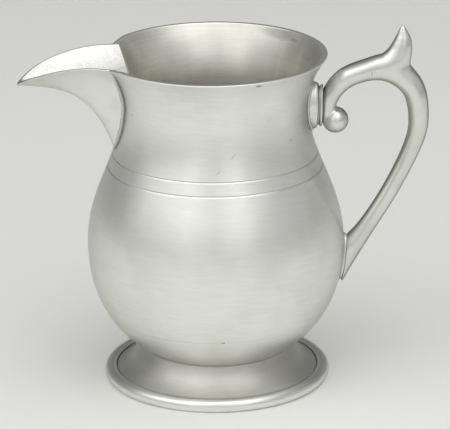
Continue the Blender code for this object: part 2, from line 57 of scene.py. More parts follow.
def bezier(a, b, c, d, t):
    u = 1 - t
    return a * u ** 3 + b * (3 * t * u * u) + c * (3 * t * t * u) + d * t ** 3


def bezierRun(controls, steps):
    return [bezier(*controls, i / steps) for i in range(steps + 1)]


def rz(r, z):  # radius and height of a turned profile, in mm
    return Vector((r, z)) * mm


def arcRun(centre, radius, start, end, steps):
    turns = [start + (end - start) * i / steps for i in range(steps + 1)]
    return [centre + Vector((cos(a), sin(a))) * radius for a in turns]


def offsetRun(points, distance):  # a profile that runs down, moved outwards
    moved = []
    for i, point in enumerate(points):
        along = points[min(i + 1, len(points) - 1)] - points[max(i - 1, 0)]
        moved.append(point + Vector((-along.y, along.x)).normalized() * distance)
    return moved


def heightAt(profile, r):
    points = sorted(profile, key=lambda p: p.x)
    for near, far in zip(points, points[1:]):
        if near.x <= r <= far.x:
            return near.y + (far.y - near.y) * (r - near.x) / max(far.x - near.x, noGap)
    return points[0].y if r < points[0].x else points[-1].y


def pieceFrom(name, bm, sharp=creaseAngle):
    bmesh.ops.recalc_face_normals(bm, faces=bm.faces)
    mesh = bpy.data.meshes.new(name)
    bm.to_mesh(mesh)
    bm.free()
    piece = bpy.data.objects.new(name, mesh)
    bpy.context.scene.collection.objects.link(piece)
    shade(piece, sharp)
    return piece


def shade(piece, sharp=creaseAngle):
    piece.data.shade_smooth()
    piece.data.set_sharp_from_angle(angle=radians(sharp))


def settle(piece):  # what the modifiers make becomes the mesh
    graph = bpy.context.evaluated_depsgraph_get()
    made = bpy.data.meshes.new_from_object(piece.evaluated_get(graph))
    piece.modifiers.clear()
    piece.data = made


def carve(piece, cutter, operation="DIFFERENCE"):
    cut = piece.modifiers.new("carve", "BOOLEAN")
    cut.operation = operation
    cut.solver = "EXACT"
    cut.object = cutter
    settle(piece)
    bpy.data.objects.remove(cutter, do_unlink=True)


def turned(profile, turns, closed, centre=(axisX, 0, 0), axis=(0, 0, 1)):  # spun about an axis
    bm = bmesh.new()
    verts = [bm.verts.new((axisX + p.x, 0, p.y)) for p in profile]
    edges = [bm.edges.new(pair) for pair in zip(verts, verts[1:])]
    if closed:
        edges.append(bm.edges.new((verts[-1], verts[0])))
    bmesh.ops.spin(bm, geom=verts + edges, cent=centre, axis=axis, angle=2 * pi, steps=turns,
                   use_merge=True)
    bmesh.ops.remove_doubles(bm, verts=bm.verts, dist=weld)
    return bm


def ringLoop(bm, points):
    verts = [bm.verts.new(p) for p in points]
    return [bm.edges.new((verts[i - 1], verts[i])) for i in range(len(verts))]


def lofted(rings):  # a closed skin bridged through rings of points
    bm = bmesh.new()
    loops = [ringLoop(bm, ring) for ring in rings]
    for near, far in zip(loops, loops[1:]):
        bmesh.ops.bridge_loops(bm, edges=near + far)
    bmesh.ops.contextual_create(bm, geom=loops[0])
    bmesh.ops.contextual_create(bm, geom=loops[-1])
    return bm


def coats(piece, count):  # empty slots, so that faces can be told apart
    for _ in range(count):
        piece.data.materials.append(None)


def trim(piece):  # no specks of edges, and no odd faces left for an exporter to cut
    bm = bmesh.new()
    bm.from_mesh(piece.data)
    bmesh.ops.remove_doubles(bm, verts=bm.verts, dist=speck)
    odd = [f for f in bm.faces if len(f.verts) > 4 or any(len(v.link_edges) == 2 for v in f.verts)]
    bmesh.ops.triangulate(bm, faces=odd)
    bmesh.ops.recalc_face_normals(bm, faces=bm.faces)
    bm.to_mesh(piece.data)
    bm.free()


def wear(piece, node, slot, *finishes):
    trim(piece)
    if not piece.data.materials:
        coats(piece, len(finishes))
    for i, finish in enumerate(finishes):
        piece.data.materials[i] = finish
    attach(piece, "root")
    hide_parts(node)


# Body: spun shell, drawn by its outer line from rim to base

bodyShape = {
    "rimHeight": bodyHigh.z / mm,
    "rimRadius": 34.5,
    "rimSlope": 54,
    "mouthDepth": 16.2,
    "neckRadius": 28.8,
    "bellyHeight": 44.3,
    "bellyRadius": bodyHigh.y / mm,
    "baseHeight": bodyLow.z / mm,
    "baseRadius": 12.5,
    "wall": 1.3,
    "lipRound": 0.3,
    "lowerPull": (0.333, 0.717),
    "upperPull": (0.40, 0.377),
    "mouthPull": (0.41, 0.22),
    "grooveDrops": (15.3, 19.3),
    "grooveWidth": 0.6,
    "grooveDepth": 0.13,
    "grooveSteps": 6,
    "grooveClear": 1.15,
    "grooveSoft": 0.8,
    "dip": 1.1,
    "dipDepth": 5.0,
    "dipTurn": (22, 37),
    "turns": 180,
    "innerSteps": (40, 36, 24),
    "outerSteps": (48, 60, 28),
    "cutterRise": 6,
}
neckHeight = bodyShape["rimHeight"] - bodyShape["mouthDepth"]


def bodyCurves():
    s = bodyShape
    slope = radians(s["rimSlope"])
    lip = s["wall"] / 2
    base = rz(s["baseRadius"], s["baseHeight"])
    belly = rz(s["bellyRadius"], s["bellyHeight"])
    neck = rz(s["neckRadius"], neckHeight)
    rim = rz(s["rimRadius"] - lip * (1 - sin(slope)), s["rimHeight"] - lip * (1 + cos(slope)))
    spread = Vector(((belly.x - base.x) * s["lowerPull"][0], 0))
    rise = Vector((0, belly.y - base.y))
    waist = Vector((0, neck.y - belly.y))
    flare = rim.y - neck.y
    along = Vector((cos(slope), sin(slope))) * flare
    return (
        (base, base + spread, belly - rise * s["lowerPull"][1], belly),
        (belly, belly + waist * s["upperPull"][0], neck - waist * s["upperPull"][1], neck),
        (neck, neck + Vector((0, flare * s["mouthPull"][0])), rim - along * s["mouthPull"][1], rim),
    )


def bodyRun(steps):  # rim down to base
    lower, upper, mouth = (bezierRun(c, n) for c, n in zip(bodyCurves(), steps))
    return (lower[:-1] + upper[:-1] + mouth)[::-1]


bodyLine = bodyRun((200, 200, 120))


def bodyRadius(z):
    for high, low in zip(bodyLine, bodyLine[1:]):
        if low.y <= z <= high.y:
            return low.x + (high.x - low.x) * (z - low.y) / max(high.y - low.y, noGap)
    return bodyLine[0].x if z > bodyLine[0].y else bodyLine[-1].x


def grooved(run):  # two soft V grooves on the shoulder
    s = bodyShape
    half = s["grooveWidth"] * mm / 2
    steps = s["grooveSteps"]
    for drop in s["grooveDrops"]:
        middle = (neckHeight - drop) * mm
        run = [p for p in run if abs(p.y - middle) > half * s["grooveClear"]]
        for i in range(-steps, steps + 1):
            z = middle + half * i / steps
            sink = s["grooveDepth"] * mm * (1 - abs(i / steps)) ** s["grooveSoft"]
            run.append(Vector((bodyRadius(z) - sink, z)))
    return sorted(run, key=lambda p: -p.y)


def rimEnd():  # the end of the body's outer line, the way on from it and the way in across the wall
    slope = radians(bodyShape["rimSlope"])
    return bodyLine[0], Vector((cos(slope), sin(slope))), Vector((-sin(slope), cos(slope)))


def lipRun():  # from the bowl over a flat lip to the outside
    s = bodyShape
    end, along, across = rimEnd()
    slope = radians(s["rimSlope"])
    small = s["lipRound"] * mm
    corners = []
    for into in (s["wall"] * mm - small, small):
        corner = end + across * into
        corners.append(corner + along * ((s["rimHeight"] * mm - small - corner.y) / along.y))
    inner = arcRun(corners[0], small, slope + pi / 2, pi / 2, 5)
    return inner + arcRun(corners[1], small, pi / 2, slope - pi / 2, 9)


def makeBody():
    s = bodyShape
    inner = offsetRun(bodyRun(s["innerSteps"]), -s["wall"] * mm)[::-1]
    outer = grooved(bodyRun(s["outerSteps"]))
    floor = Vector((0, (s["baseHeight"] + s["wall"]) * mm))
    profile = [floor] + inner + lipRun() + outer + [rz(0, s["baseHeight"])]
    bm = turned(profile, s["turns"], False)
    fileRim(bm)
    return pieceFrom("creamer_body", bm)


def smoothStep(low, high, value):
    t = min(max((value - low) / (high - low), 0), 1)
    return t * t * (3 - 2 * t)


def rimDip(point):  # the rim is filed down a little on both sides of the spout
    near, far = (radians(a) for a in bodyShape["dipTurn"])
    turn = abs(atan2(point.y, axisX - point.x))
    return bodyShape["dip"] * mm * (1 - smoothStep(near, far, turn))


def fileRim(bm):
    top = bodyShape["rimHeight"] * mm
    for vert in bm.verts:
        vert.co.z -= rimDip(vert.co) * smoothStep(top - bodyShape["dipDepth"] * mm, top, vert.co.z)


def inside(body):  # faces of the bowl get the second finish, those of the lip the third
    coats(body, 3)
    end, along = rimEnd()[:2]
    lipFoot = (bodyShape["rimHeight"] - 2 * bodyShape["lipRound"]) * mm
    belly = bodyShape["bellyHeight"] * mm
    for face in body.data.polygons:
        away = Vector((face.center.x - axisX, face.center.y))
        dip = rimDip(face.center)
        spot = Vector((away.length, face.center.z + dip))
        if spot.y > lipFoot and (spot - end).dot(along) > 0:
            face.material_index = 2
        elif away.dot(face.normal.xy) < 0 or (face.normal.z > 0.5 and face.center.z < belly):
            face.material_index = 1


def envelope(distance):  # the body's outside as a solid that reaches past the rim, grown by a distance
    s = bodyShape
    run = offsetRun(bodyRun(s["outerSteps"]), distance * mm)
    top = (s["rimHeight"] + s["cutterRise"]) * mm
    profile = [Vector((0, top)), Vector((run[0].x, top))] + run + [Vector((0, run[-1].y))]
    return pieceFrom("envelope", turned(profile, s["turns"], False))


# Spout: folded beak, drawn by its keel and its upper edge

spoutShape = {
    "length": 26.2,
    "tipDrop": 9.95,
    "earDrop": 0.7,
    "earFall": 0.4,
    "heelDrop": 13.9,
    "halfWidth": 14.4,
    "tipHalf": 0.5,
    "keelWall": 1.1,
    "edgeWall": 0.9,
    "keelBrow": 0.55,
    "keelThroat": (0.205, 0.875),
    "edgeBeak": (0.12, 0.58, 0.38),
    "edgeCheek": (0.57, 0.27),
    "tipSection": ((0.02, 0.50), (0.58, 0.74)),
    "baseSection": ((0.02, 0.52), (0.58, 0.28)),
    "base": 1.24,
    "tipWall": 1.1,
    "hollowStart": 0.1,
    "chamfer": 0.25,
    "notchStart": 0.5,
    "notchGap": 0.25,
    "pastBase": 0.1,
    "seatGap": 0.02,
    "openRise": 6,
    "rings": 44,
    "sides": 22,
}


def fromAxis(x, y, z):
    return Vector((axisX + x * mm, y * mm, z * mm))


def keelPoint(t):
    s = spoutShape
    reach = bodyShape["rimRadius"] + s["length"]
    heelHeight = neckHeight - s["heelDrop"]
    heelReach = bodyRadius(heelHeight * mm) / mm
    tip = fromAxis(-reach, 0, bodyShape["rimHeight"] - s["tipDrop"])
    heel = fromAxis(-heelReach, 0, heelHeight)
    span = heel - tip
    brow = tip + Vector((span.x * s["keelBrow"], 0, 0))
    throat = heel - Vector((span.x * s["keelThroat"][0], 0, span.z * s["keelThroat"][1]))
    return bezier(tip, brow, throat, heel, t) if t <= 1 else heel + (heel - throat) * 3 * (t - 1)


def edgePoint(t):
    s = spoutShape
    rim = bodyShape["rimRadius"]
    reach = rim + s["length"]
    tip = fromAxis(-reach, s["tipHalf"], bodyShape["rimHeight"] - s["tipDrop"] + s["tipHalf"])
    earReach = sqrt(rim ** 2 - s["halfWidth"] ** 2)
    ear = fromAxis(-earReach, s["halfWidth"], bodyShape["rimHeight"] - s["earDrop"])
    span = ear - tip
    beak = tip + Vector([a * b for a, b in zip(span, s["edgeBeak"])])
    cheek = ear - Vector((span.x * s["edgeCheek"][0], span.y * s["edgeCheek"][1], 0))
    point = bezier(tip, beak, cheek, ear, t) if t <= 1 else ear + (ear - cheek) * 3 * (t - 1)
    point.z -= s["earFall"] * mm * smoothStep(0.85, 1.03, t)  # down to the filed rim
    return point


def sectionPoint(t, u, grow):  # keel at u = 0, upper edge at u = 1
    keel = keelPoint(t)
    edge = edgePoint(t)
    up = Vector((edge.x - keel.x, 0, edge.z - keel.z))
    pulls = [Vector(a).lerp(Vector(b), min(t, 1))
             for a, b in zip(spoutShape["tipSection"], spoutShape["baseSection"])]
    share = bezier(Vector((0, 0)), *pulls, Vector((1, 1)), u)
    along = -grow + (up.length + grow) * share.x
    return keel + up.normalized() * along + Vector((0, (edge.y + grow) * share.y, 0))


def sectionRing(t, wallAt, rise):
    steps = [i / spoutShape["sides"] for i in range(spoutShape["sides"] + 1)]
    half = [sectionPoint(t, u, -wallAt(t, u) * mm) for u in steps]
    if rise:
        half.append(half[-1] + Vector((0, 0, rise * mm)))
    else:  # outside: the upper edge is broken
        edge = half.pop()
        half.append(edge + (half[-1] - edge).normalized() * spoutShape["chamfer"] * mm)
        half.append(edge - Vector((0, spoutShape["chamfer"] * mm, 0)))
    return [Vector((p.x, -p.y, p.z)) for p in half[:0:-1]] + half


def spoutRings(start, end, wallAt, rise):
    count = spoutShape["rings"]
    return [sectionRing(start + (end - start) * i / count, wallAt, rise) for i in range(count + 1)]


def spoutWall(t, u):  # thicker at the keel and towards the solid tip
    s = spoutShape
    tip = s["tipWall"] * (1 - smoothStep(0.08, 0.45, t))
    return s["keelWall"] + (s["edgeWall"] - s["keelWall"]) * u ** 2 + tip


def notchWall(t, u):  # the notch in the body is a little smaller than the spout
    return spoutShape["notchGap"]


def makeSpout(body):
    s = spoutShape
    past = s["base"] + s["pastBase"]
    hollow = pieceFrom("hollow", lofted(spoutRings(s["hollowStart"], past, spoutWall, s["openRise"])))
    coats(hollow, 3)
    for face in hollow.data.polygons:
        face.material_index = 1  # the channel has the second finish
    notch = pieceFrom("notch", lofted(spoutRings(s["notchStart"], past, notchWall, s["openRise"])))
    carve(body, notch)
    shade(body)
    spout = pieceFrom("creamer_spout", lofted(spoutRings(0, s["base"], lambda t, u: 0, 0)))
    coats(spout, 3)
    for face in spout.data.polygons:
        onTop = abs(face.center.y) < weld and face.normal.z > 0.3
        face.material_index = 2 if onTop else 0  # what the hollow leaves of the top is the lips
    carve(spout, hollow)
    carve(spout, envelope(-bodyShape["wall"] - s["seatGap"]))
    shade(spout)
    return spout


# Foot and ring

footShape = {
    "neckRadius": 22.6,
    "discRadius": 31.4,
    "edgeHeight": 3.4,
    "wall": 1.3,
    "neckSlope": 50,
    "discSlope": 20,
    "discRound": 0.5,
    "pull": 0.36,
    "seatGap": 0.1,
    "ringRadius": ringHigh.y / mm,
    "ringHeight": 3.98,
    "ringLedge": 1.8,
    "ringBead": 2.17,
    "groove": 0.25,
    "turns": 180,
}


def footFlare():
    s = footShape
    neck = s["neckRadius"] * mm
    top = Vector((neck, heightAt(bezierRun(bodyCurves()[0], 160), neck)))
    edge = rz(s["discRadius"] - s["discRound"], s["edgeHeight"])
    span = (edge - top).length
    steep, flat = radians(s["neckSlope"]), radians(s["discSlope"])
    down = Vector((cos(steep), -sin(steep))) * span * s["pull"]
    back = Vector((-cos(flat), sin(flat))) * span * s["pull"]
    return bezierRun((top, top + down, edge + back, edge), 36)


def makeFoot():
    s = footShape
    flare = footFlare()
    inner = offsetRun(flare, -s["wall"] * mm)
    inner[0].y = flare[0].y
    inner[-1] = rz(s["discRadius"], s["edgeHeight"] - s["wall"])
    middle = flare[-1] - Vector((0, s["discRound"] * mm))
    corner = arcRun(middle, s["discRound"] * mm, pi / 2 - radians(s["discSlope"]), 0, 8)
    return pieceFrom("creamer_foot", turned(flare + corner + inner[::-1], s["turns"], True))


def makeRing():  # a round bead, flat below, with a ledge under the disc
    s = footShape
    inner = s["discRadius"] + s["groove"]
    seat = s["edgeHeight"] - s["wall"] - s["seatGap"]
    bead = s["ringBead"]
    middle = rz(s["ringRadius"] - bead, s["ringHeight"] - bead)
    first = acos((inner * mm - middle.x) / (bead * mm))
    last = -asin(middle.y / (bead * mm))
    crown = arcRun(middle, bead * mm, first, last, 44)
    ledge = [rz(inner - s["ringLedge"], 0), rz(inner - s["ringLedge"], seat), rz(inner, seat)]
    return pieceFrom("creamer_foot_ring", turned(crown + ledge, s["turns"], True))


# Handle: scroll stroke running on into the tail, spur stroke and ball melted into one casting

handleShape = {
    "scroll": (  # from the axis, height and half width: from the socket over the crown to the pad
        (34.8, 82.5, 2.4),
        (35.2, 90.0, 2.8),
        (39.7, 96.1, 3.25),
        (46.8, 99.1, 3.5),
        (53.6, 99.7, 4.5),
        (59.2, 95.8, 3.9),
        (62.1, 90.3, 3.4),
        (62.7, 81.2, 3.05),
        (60.1, 72.5, 2.75),
        (53.7, 59.5, 2.6),
        (46.1, 47.4, 2.8),
        (38.7, 37.6, 4.2),
        (34.6, 30.4, 4.4),
    ),
    "spur": (
        (52.6, 98.4, 3.6),
        (55.2, 101.2, 4.7),
        (57.0, 104.8, 3.85),
        (57.8, 108.4, 2.85),
        (57.8, 111.5, 1.4),
        (57.8, 113.2, 0.5),
    ),
    "scrollDepth": 1.09,
    "spurDepth": 0.78,
    "deepest": 3.7,
    "ball": (37.2, 83.2, 4.05),
    "voxel": 0.22,
    "polish": 18,
    "ease": 0.5,
    "sharp": 40,
    "blend": (56.2, 100.2),
    "blendReach": (11.0, 9.0, 7.0, 5.0),
    "blendPasses": 22,
    "padGap": 0.2,
    "rootCut": 30,
    "tailCut": 20,
}
socketShape = {
    "drop": 0.9,
    "standoff": 4.4,
    "halfHeight": 7.4,
    "depth": 0.62,
    "round": 1.3,
    "shoulderEnd": 0.2,
    "root": 4.0,
    "sink": 0.4,
    "lean": 1.9,
    "collarHalf": 6.65,
    "collarLength": 0.8,
    "collarGroove": 0.5,
    "turns": 72,
}
padShape = {
    "drop": 5.9,
    "halfHeight": 7.4,
    "halfWidth": 3.7,
    "thickness": 0.8,
    "sink": 0.4,
    "length": 20,
    "bevel": 0.3,
    "bevelSteps": 3,
    "bevelAngle": 50,
    "sides": 72,
    "sharp": 40,
}
socketHeight = neckHeight - socketShape["drop"]
socketFace = bodyRadius(socketHeight * mm) / mm + socketShape["standoff"]
padHeight = bodyShape["bellyHeight"] - padShape["drop"]


def strokeRings(nodes, depth, legs=14, sides=36):  # rings along a smooth line through the nodes
    line = []
    ends = [nodes[0]] + list(nodes) + [nodes[-1]]
    for a, b, c, d in zip(ends, ends[1:], ends[2:], ends[3:]):
        a, b, c, d = (Vector(n) for n in (a, b, c, d))
        line += [bezier(b, b + (c - a) / 6, c - (d - b) / 6, c, i / legs) for i in range(legs)]
    line.append(Vector(nodes[-1]))
    rings = []
    for i, (x, z, half) in enumerate(line):
        deep = min(half * depth, handleShape["deepest"])
        along = line[min(i + 1, len(line) - 1)] - line[max(i - 1, 0)]
        across = Vector((along[1], 0, -along[0])).normalized() * half * mm
        turns = [2 * pi * k / sides for k in range(sides)]
        rings.append([fromAxis(x, deep * sin(a), z) + across * cos(a) for a in turns])
    return rings


def block(size, centre):
    bm = bmesh.new()
    bmesh.ops.create_cube(bm, size=size * mm, matrix=Matrix.Translation(centre))
    return bm


def leanOver(bm):  # the socket and the handle's root lean with the neck
    bmesh.ops.rotate(bm, cent=fromAxis(socketFace, 0, socketHeight), verts=bm.verts,
                     matrix=Matrix.Rotation(radians(socketShape["lean"]), 3, "Y"))


def makeHandle():
    s = handleShape
    casting = bmesh.new()
    for route, depth in ((s["scroll"], s["scrollDepth"]), (s["spur"], s["spurDepth"])):
        stroke = lofted(strokeRings(route, depth))
        bmesh.ops.recalc_face_normals(stroke, faces=stroke.faces)
        mesh = bpy.data.meshes.new("stroke")
        stroke.to_mesh(mesh)
        stroke.free()
        casting.from_mesh(mesh)
        bpy.data.meshes.remove(mesh)
    x, z, radius = s["ball"]
    bmesh.ops.create_uvsphere(casting, u_segments=48, v_segments=32, radius=radius * mm,
                              matrix=Matrix.Translation(fromAxis(x, 0, z)))
    handle = pieceFrom("creamer_handle", casting)
    melt = handle.modifiers.new("melt", "REMESH")
    melt.mode = "VOXEL"
    melt.voxel_size = s["voxel"] * mm
    polish = handle.modifiers.new("polish", "SMOOTH")
    polish.factor = s["ease"]
    polish.iterations = s["polish"]
    settle(handle)
    blend = bmesh.new()
    blend.from_mesh(handle.data)
    x, z = s["blend"]
    for reach in s["blendReach"]:
        crotch = [v for v in blend.verts if (v.co - fromAxis(x, v.co.y / mm, z)).length < reach * mm]
        for _ in range(s["blendPasses"]):
            bmesh.ops.smooth_vert(blend, verts=crotch, factor=s["ease"],
                                  use_axis_x=True, use_axis_y=True, use_axis_z=True)
    blend.to_mesh(handle.data)
    blend.free()
    flat = block(s["rootCut"], fromAxis(socketFace - s["rootCut"] / 2, 0, socketHeight))
    leanOver(flat)
    carve(handle, pieceFrom("flat", flat))
    carve(handle, envelope(padShape["thickness"] + s["padGap"]))
    low = padHeight - padShape["halfHeight"] - s["tailCut"] / 2
    tail = block(s["tailCut"], fromAxis(socketFace, 0, low))
    carve(handle, pieceFrom("tail", tail))
    shade(handle, s["sharp"])
    return handle


def makeSocket():
    s = socketShape
    inside = socketFace - s["standoff"] - s["root"]
    collar = socketFace - s["collarLength"]
    groove = collar - s["collarGroove"]
    big = s["halfHeight"]
    small = s["collarHalf"]
    bottom = small - s["collarGroove"]
    corner = rz(groove - s["round"], big - s["round"])
    shoulder = arcRun(corner, s["round"] * mm, pi / 2, s["shoulderEnd"], 8)
    bow = s["collarLength"] / 2
    bead = arcRun(rz(socketFace - bow, small - bow), bow * mm, pi, 0, 10)
    profile = [rz(inside, 0), rz(inside, big)] + shoulder + [rz(groove, bottom), rz(collar, bottom)] + bead
    profile.append(rz(socketFace, 0))
    bm = turned(profile, s["turns"], False, (0, 0, 0), (1, 0, 0))
    bmesh.ops.scale(bm, vec=(1, s["depth"], 1), verts=bm.verts)
    bmesh.ops.translate(bm, vec=(0, 0, socketHeight * mm), verts=bm.verts)
    leanOver(bm)
    socket = pieceFrom("creamer_handle_socket", bm)
    carve(socket, envelope(-s["sink"]))
    shade(socket)
    return socket


def makePad():
    s = padShape
    bm = bmesh.new()
    seat = Matrix.Translation(fromAxis(bodyRadius(padHeight * mm) / mm, 0, padHeight))
    size = Matrix.Diagonal((s["length"] * mm, s["halfWidth"] * mm, s["halfHeight"] * mm, 1))
    lie = seat @ size @ Matrix.Rotation(pi / 2, 4, "Y")
    bmesh.ops.create_cone(bm, cap_ends=True, segments=s["sides"], radius1=1, radius2=1, depth=1, matrix=lie)
    pad = pieceFrom("creamer_handle_pad", bm)
    carve(pad, envelope(s["thickness"]), "INTERSECT")
    carve(pad, envelope(-s["sink"]))
    edge = pad.modifiers.new("edge", "BEVEL")
    edge.width = s["bevel"] * mm
    edge.segments = s["bevelSteps"]
    edge.limit_method = "ANGLE"
    edge.angle_limit = radians(s["bevelAngle"])
    settle(pad)
    shade(pad, s["sharp"])
    return pad


# Solder: thin beads in the corners, laid by hand

solderShape = {
    "seamRadius": 0.75,
    "seamLift": 0.35,
    "seamEnd": 0.985,
    "seamSteps": 60,
    "seamThin": 0.04,
    "padRadius": 0.38,
    "padLift": 0.05,
    "socketRadius": 0.6,
    "socketLift": 0.15,
    "margin": 0.1,
    "wobble": 0.12,
    "sides": 12,
    "ovalSteps": 120,
    "beadSharp": 60,
    "fillet": 1.8,
    "filletSharp": 50,
    "footTurns": 96,
    "ringTurns": 120,
}


def bodyNormal(point):
    small = 0.1 * mm
    slope = (bodyRadius(point.z + small) - bodyRadius(point.z - small)) / (2 * small)
    out = Vector((point.x - axisX, point.y, 0)).normalized()
    return (out - Vector((0, 0, slope))).normalized()


def bead(name, points, outs, radii, closed):  # its crest is marked for the finish's painted highlight
    rings = []
    count = len(points)
    sides = solderShape["sides"]
    for i, point in enumerate(points):
        ahead = points[(i + 1) % count] if closed else points[min(i + 1, count - 1)]
        behind = points[i - 1] if closed else points[max(i - 1, 0)]
        along = (ahead - behind).normalized()
        out = outs[i]
        side = along.cross(out).normalized()
        swell = 1 + solderShape["wobble"] * sin(i * 1.7) * sin(i * 0.61 + 1)
        turns = [2 * pi * k / sides for k in range(sides)]
        rings.append([point + (out * cos(a) + side * sin(a)) * radii[i] * swell * mm for a in turns])
    bm = bmesh.new()
    crest = bm.verts.layers.float.new("crest")
    loops = [ringLoop(bm, ring) for ring in rings]
    for i, vert in enumerate(bm.verts):
        vert[crest] = cos(2 * pi * (i % sides) / sides)
    for near, far in zip(loops, loops[1:] + (loops[:1] if closed else [])):
        bmesh.ops.bridge_loops(bm, edges=near + far)
    if not closed:
        bmesh.ops.contextual_create(bm, geom=loops[0])
        bmesh.ops.contextual_create(bm, geom=loops[-1])
    return pieceFrom(name, bm, solderShape["beadSharp"])


def seamPoint(u):  # where the spout's outside meets the body, and the way out of that corner
    outside, inside = 0.4, spoutShape["base"]
    for _ in range(40):
        t = (outside + inside) / 2
        point = sectionPoint(t, u, 0)
        away = Vector((point.x - axisX, point.y)).length
        outside, inside = (t, inside) if away > bodyRadius(point.z) else (outside, t)
    small = 0.002
    across = sectionPoint(t, u + small, 0) - sectionPoint(t, u - small, 0)
    along = sectionPoint(t + small, u, 0) - sectionPoint(t - small, u, 0)
    spoutNormal = across.cross(along).normalized()
    if spoutNormal.dot(Vector((0, 1, -1))) < 0:
        spoutNormal.negate()
    return point, (spoutNormal + bodyNormal(point)).normalized()


def makeSpoutSolder():
    s = solderShape
    half = []
    for i in range(s["seamSteps"] + 1):
        u = s["seamEnd"] * i / s["seamSteps"]
        point, out = seamPoint(u)
        full = 1 - s["seamThin"] - 0.5 * smoothStep(0.85, 1, u)
        taper = s["seamThin"] + smoothStep(0, 0.45, u) * full
        half.append((point + out * s["seamLift"] * taper * mm, out, s["seamRadius"] * taper))
    flip = Vector((1, -1, 1))
    points, outs, radii = zip(*([(p * flip, o * flip, r) for p, o, r in half[:0:-1]] + half))
    return bead("spout_solder_seam", points, outs, radii, False)


def ovalSeam(height, halfHeight, halfWidth, lift):
    points = []
    steps = solderShape["ovalSteps"]
    for i in range(steps):
        turn = 2 * pi * i / steps
        y = halfWidth * cos(turn) * mm
        z = (height + halfHeight * sin(turn)) * mm
        r = bodyRadius(z) + lift * mm
        points.append(Vector((axisX + r * cos(asin(y / r)), y, z)))
    return points


def ovalBead(name, run, radius):
    middle = sum(run, Vector()) / len(run)
    outs = []
    for point in run:
        away = (point - middle) * Vector((0, 1, 1))
        outs.append((bodyNormal(point) + away.normalized()).normalized())
    return bead(name, run, outs, [radius] * len(run), True)


def makeSocketSolder():
    s = socketShape
    margin = solderShape["margin"]
    half = s["halfHeight"]
    run = ovalSeam(socketHeight, half + margin, half * s["depth"] + margin, solderShape["socketLift"])
    return ovalBead("socket_solder_seam", run, solderShape["socketRadius"])


def makePadSolder():
    s = padShape
    margin = solderShape["margin"]
    run = ovalSeam(padHeight, s["halfHeight"] + margin, s["halfWidth"] + margin, solderShape["padLift"])
    return ovalBead("pad_solder_seam", run, solderShape["padRadius"])


def filletRun(corner, low, tip):  # a hollow fillet between two faces
    middle = (low + tip) / 2
    waist = middle.lerp(corner, 0.35)
    return [corner] + bezierRun((low, low.lerp(waist, 0.6), tip.lerp(waist, 0.6), tip), 8)


def filletCorners(above, r, size):  # in the corner under a profile, inside a wall of radius r
    margin = solderShape["margin"] * mm
    corner = Vector((r + margin, heightAt(above, r) + margin))
    low = Vector((r + margin, corner.y - size))
    tip = Vector((r - size, heightAt(above, r - size) + margin))
    return corner, low, tip


def makeFootSolder():
    s = footShape
    under = bezierRun(bodyCurves()[0], 160)
    r = (s["neckRadius"] - s["wall"]) * mm
    run = filletRun(*filletCorners(under, r, solderShape["fillet"] * mm))
    bm = turned(run, solderShape["footTurns"], True)
    return pieceFrom("foot_solder_fillet", bm, solderShape["filletSharp"])


def makeRingSolder():
    s = footShape
    inner = offsetRun(footFlare(), -s["wall"] * mm)
    wall = (s["discRadius"] + s["groove"] - s["ringLedge"]) * mm
    run = filletRun(*filletCorners(inner, wall, solderShape["fillet"] / 2 * mm))
    bm = turned(run, solderShape["ringTurns"], True)
    return pieceFrom("ring_solder_fillet", bm, solderShape["filletSharp"])


# Shader nodes as expressions

class Wire:
    def __init__(self, book, socket):
        self.book = book
        self.socket = socket

    def _math(self, operation, a, b):
        return self.book.node("ShaderNodeMath", {"operation": operation}, {0: a, 1: b})

    def __add__(self, other):
        return self._math("ADD", self, other)

    def __sub__(self, other):
        return self._math("SUBTRACT", self, other)

    def __mul__(self, other):
        return self._math("MULTIPLY", self, other)

    def __radd__(self, other):
        return self._math("ADD", other, self)

    def __rsub__(self, other):
        return self._math("SUBTRACT", other, self)

    def __rmul__(self, other):
        return self._math("MULTIPLY", other, self)


